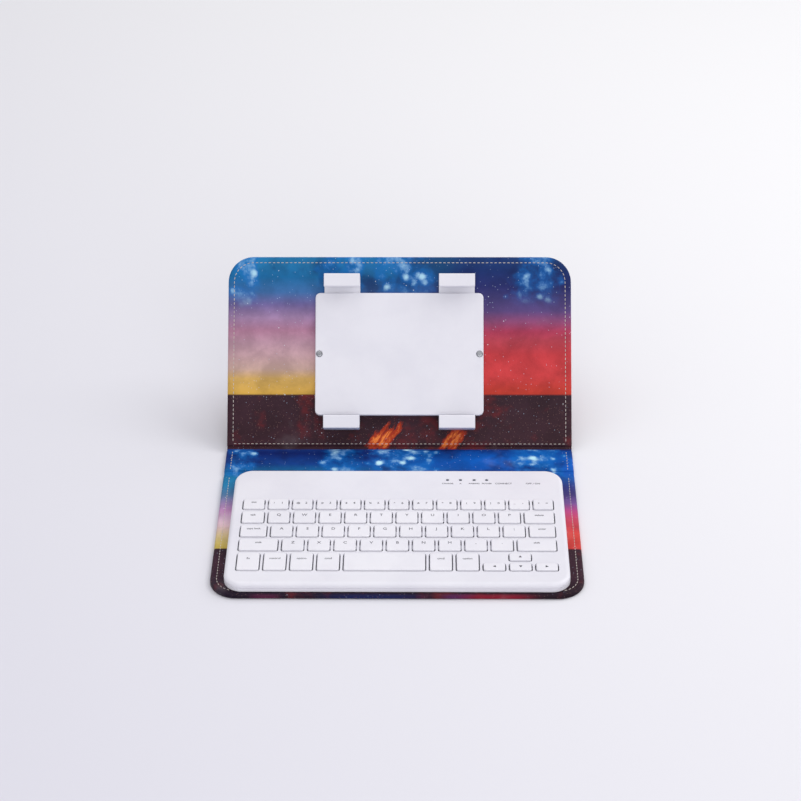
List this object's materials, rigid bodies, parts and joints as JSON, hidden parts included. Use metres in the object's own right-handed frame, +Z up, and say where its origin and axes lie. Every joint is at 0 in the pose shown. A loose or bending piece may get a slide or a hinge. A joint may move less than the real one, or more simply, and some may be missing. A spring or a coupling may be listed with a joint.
{
  "type": "tablet keyboard case",
  "caption": "Folding wrap case for a small tablet: slim white keyboard in the front cover, sprung clamp on the leaning rear panel, fold-out stand behind.",
  "frame": {"origin": "centre of the front cover's underside, on the table", "axes": "+Z up, +Y from the front edge towards the rear panel, +X to the typist's right"},
  "size_m": [0.218, 0.2449, 0.0998],
  "materials": {
    "outer_leather": "fine grained, matt",
    "printed_leather": "printed star field, satin",
    "board": "raw fibreboard",
    "white_plastic": "satin",
    "key_plastic": "matt",
    "grip_rubber": "matt",
    "steel": "brushed",
    "circuit": "solder mask",
    "battery_foil": "foil",
    "dark_plastic": "matt",
    "clear_lens": "polished"
  },
  "bodies": {
    "front_cover": {"front_skin": "outer_leather", "front_board": "board", "front_lining": "printed_leather", "front_crease": "printed_leather", "keyboard_tray": "white_plastic", "keyboard_frame": "white_plastic", "key_plate": "steel", "switch_sheet": "grip_rubber", "circuit_board": "circuit", "battery": "battery_foil", "charge_port": "steel", "light_pipe": "clear_lens"},
    "spine": {"spine_skin": "outer_leather", "spine_board": "board", "spine_lining": "printed_leather", "rear_crease": "printed_leather"},
    "rear_panel": {"rear_skin": "outer_leather", "rear_board": "board", "rear_lining": "printed_leather", "stand_keeper": "steel", "stand_hinge": "outer_leather", "clamp_base": "white_plastic", "clamp_cover": "white_plastic", "clamp_screw_left": "steel", "clamp_screw_right": "steel", "clamp_lower_jaw": "white_plastic", "lower_pad_left": "grip_rubber", "lower_pad_right": "grip_rubber", "clamp_spring_left": "steel", "clamp_spring_right": "steel"},
    "upper_jaw": {"clamp_upper_jaw": "white_plastic", "upper_pad_left": "grip_rubber", "upper_pad_right": "grip_rubber"},
    "stand": {"stand_skin": "outer_leather", "stand_board": "board", "stand_lining": "outer_leather", "stand_magnet": "steel"},
    "connect_button": {"connect_button": "key_plastic"},
    "power_switch": {"power_switch": "dark_plastic"},
    "keys_number": {"keys_number": "key_plastic"},
    "key_tab": {"key_tab": "key_plastic"},
    "keys_top": {"keys_top": "key_plastic"},
    "key_backspace": {"key_backspace": "key_plastic"},
    "key_caps": {"key_caps": "key_plastic"},
    "keys_home": {"keys_home": "key_plastic"},
    "key_enter": {"key_enter": "key_plastic"},
    "key_shift_left": {"key_shift_left": "key_plastic"},
    "keys_bottom": {"keys_bottom": "key_plastic"},
    "key_shift_right": {"key_shift_right": "key_plastic"},
    "key_fn": {"key_fn": "key_plastic"},
    "key_control": {"key_control": "key_plastic"},
    "key_option_left": {"key_option_left": "key_plastic"},
    "key_command_left": {"key_command_left": "key_plastic"},
    "key_space": {"key_space": "key_plastic"},
    "key_command_right": {"key_command_right": "key_plastic"},
    "key_option_right": {"key_option_right": "key_plastic"},
    "key_left": {"key_left": "key_plastic"},
    "key_up": {"key_up": "key_plastic"},
    "key_down": {"key_down": "key_plastic"},
    "key_right": {"key_right": "key_plastic"}
  },
  "joints": [
    {"name": "spine_fold", "type": "hinge", "parent": "front_cover", "child": "spine", "pos_m": [0, 0.062, 0.0003], "axis": [1, 0, 0], "range_deg": [0, 90], "deforming": ["front_crease"]},
    {"name": "rear_fold", "type": "hinge", "parent": "spine", "child": "rear_panel", "pos_m": [0, 0.091, 0.0003], "axis": [1, 0, 0], "range_deg": [-36, 38], "deforming": ["rear_crease"]},
    {"name": "stand_fold", "type": "hinge", "parent": "rear_panel", "child": "stand", "pos_m": [0, 0.14712, 0.07067], "axis": [1, 0, 0], "range_deg": [-63.27, 0], "deforming": ["stand_hinge"]},
    {"name": "jaw_slide", "type": "slide", "parent": "rear_panel", "child": "upper_jaw", "axis": [0, 0.6157, 0.788], "range_m": [0, 0.046], "stiffness_N_per_m": 60, "springref_m": -0.03, "deforming": ["clamp_spring_left", "clamp_spring_right"]},
    {"name": "connect_press", "type": "slide", "parent": "front_cover", "child": "connect_button", "axis": [0, -1, 0], "range_m": [0, 0.0005], "stiffness_N_per_m": 400, "springref_m": -0.0005},
    {"name": "power_slide", "type": "slide", "parent": "front_cover", "child": "power_switch", "axis": [1, 0, 0], "range_m": [0, 0.0025]},
    {"name": "keys_number_press", "type": "slide", "parent": "front_cover", "child": "keys_number", "axis": [0, 0, -1], "range_m": [0, 0.0015], "stiffness_N_per_m": 200, "springref_m": -0.001},
    {"name": "key_tab_press", "type": "slide", "parent": "front_cover", "child": "key_tab", "axis": [0, 0, -1], "range_m": [0, 0.0015], "stiffness_N_per_m": 200, "springref_m": -0.001},
    {"name": "keys_top_press", "type": "slide", "parent": "front_cover", "child": "keys_top", "axis": [0, 0, -1], "range_m": [0, 0.0015], "stiffness_N_per_m": 200, "springref_m": -0.001},
    {"name": "key_backspace_press", "type": "slide", "parent": "front_cover", "child": "key_backspace", "axis": [0, 0, -1], "range_m": [0, 0.0015], "stiffness_N_per_m": 200, "springref_m": -0.001},
    {"name": "key_caps_press", "type": "slide", "parent": "front_cover", "child": "key_caps", "axis": [0, 0, -1], "range_m": [0, 0.0015], "stiffness_N_per_m": 200, "springref_m": -0.001},
    {"name": "keys_home_press", "type": "slide", "parent": "front_cover", "child": "keys_home", "axis": [0, 0, -1], "range_m": [0, 0.0015], "stiffness_N_per_m": 200, "springref_m": -0.001},
    {"name": "key_enter_press", "type": "slide", "parent": "front_cover", "child": "key_enter", "axis": [0, 0, -1], "range_m": [0, 0.0015], "stiffness_N_per_m": 200, "springref_m": -0.001},
    {"name": "key_shift_left_press", "type": "slide", "parent": "front_cover", "child": "key_shift_left", "axis": [0, 0, -1], "range_m": [0, 0.0015], "stiffness_N_per_m": 200, "springref_m": -0.001},
    {"name": "keys_bottom_press", "type": "slide", "parent": "front_cover", "child": "keys_bottom", "axis": [0, 0, -1], "range_m": [0, 0.0015], "stiffness_N_per_m": 200, "springref_m": -0.001},
    {"name": "key_shift_right_press", "type": "slide", "parent": "front_cover", "child": "key_shift_right", "axis": [0, 0, -1], "range_m": [0, 0.0015], "stiffness_N_per_m": 200, "springref_m": -0.001},
    {"name": "key_fn_press", "type": "slide", "parent": "front_cover", "child": "key_fn", "axis": [0, 0, -1], "range_m": [0, 0.0015], "stiffness_N_per_m": 200, "springref_m": -0.001},
    {"name": "key_control_press", "type": "slide", "parent": "front_cover", "child": "key_control", "axis": [0, 0, -1], "range_m": [0, 0.0015], "stiffness_N_per_m": 200, "springref_m": -0.001},
    {"name": "key_option_left_press", "type": "slide", "parent": "front_cover", "child": "key_option_left", "axis": [0, 0, -1], "range_m": [0, 0.0015], "stiffness_N_per_m": 200, "springref_m": -0.001},
    {"name": "key_command_left_press", "type": "slide", "parent": "front_cover", "child": "key_command_left", "axis": [0, 0, -1], "range_m": [0, 0.0015], "stiffness_N_per_m": 200, "springref_m": -0.001},
    {"name": "key_space_press", "type": "slide", "parent": "front_cover", "child": "key_space", "axis": [0, 0, -1], "range_m": [0, 0.0015], "stiffness_N_per_m": 200, "springref_m": -0.001},
    {"name": "key_command_right_press", "type": "slide", "parent": "front_cover", "child": "key_command_right", "axis": [0, 0, -1], "range_m": [0, 0.0015], "stiffness_N_per_m": 200, "springref_m": -0.001},
    {"name": "key_option_right_press", "type": "slide", "parent": "front_cover", "child": "key_option_right", "axis": [0, 0, -1], "range_m": [0, 0.0015], "stiffness_N_per_m": 200, "springref_m": -0.001},
    {"name": "key_left_press", "type": "slide", "parent": "front_cover", "child": "key_left", "axis": [0, 0, -1], "range_m": [0, 0.0015], "stiffness_N_per_m": 200, "springref_m": -0.001},
    {"name": "key_up_press", "type": "slide", "parent": "front_cover", "child": "key_up", "axis": [0, 0, -1], "range_m": [0, 0.0015], "stiffness_N_per_m": 200, "springref_m": -0.001},
    {"name": "key_down_press", "type": "slide", "parent": "front_cover", "child": "key_down", "axis": [0, 0, -1], "range_m": [0, 0.0015], "stiffness_N_per_m": 200, "springref_m": -0.001},
    {"name": "key_right_press", "type": "slide", "parent": "front_cover", "child": "key_right", "axis": [0, 0, -1], "range_m": [0, 0.0015], "stiffness_N_per_m": 200, "springref_m": -0.001}
  ]
}
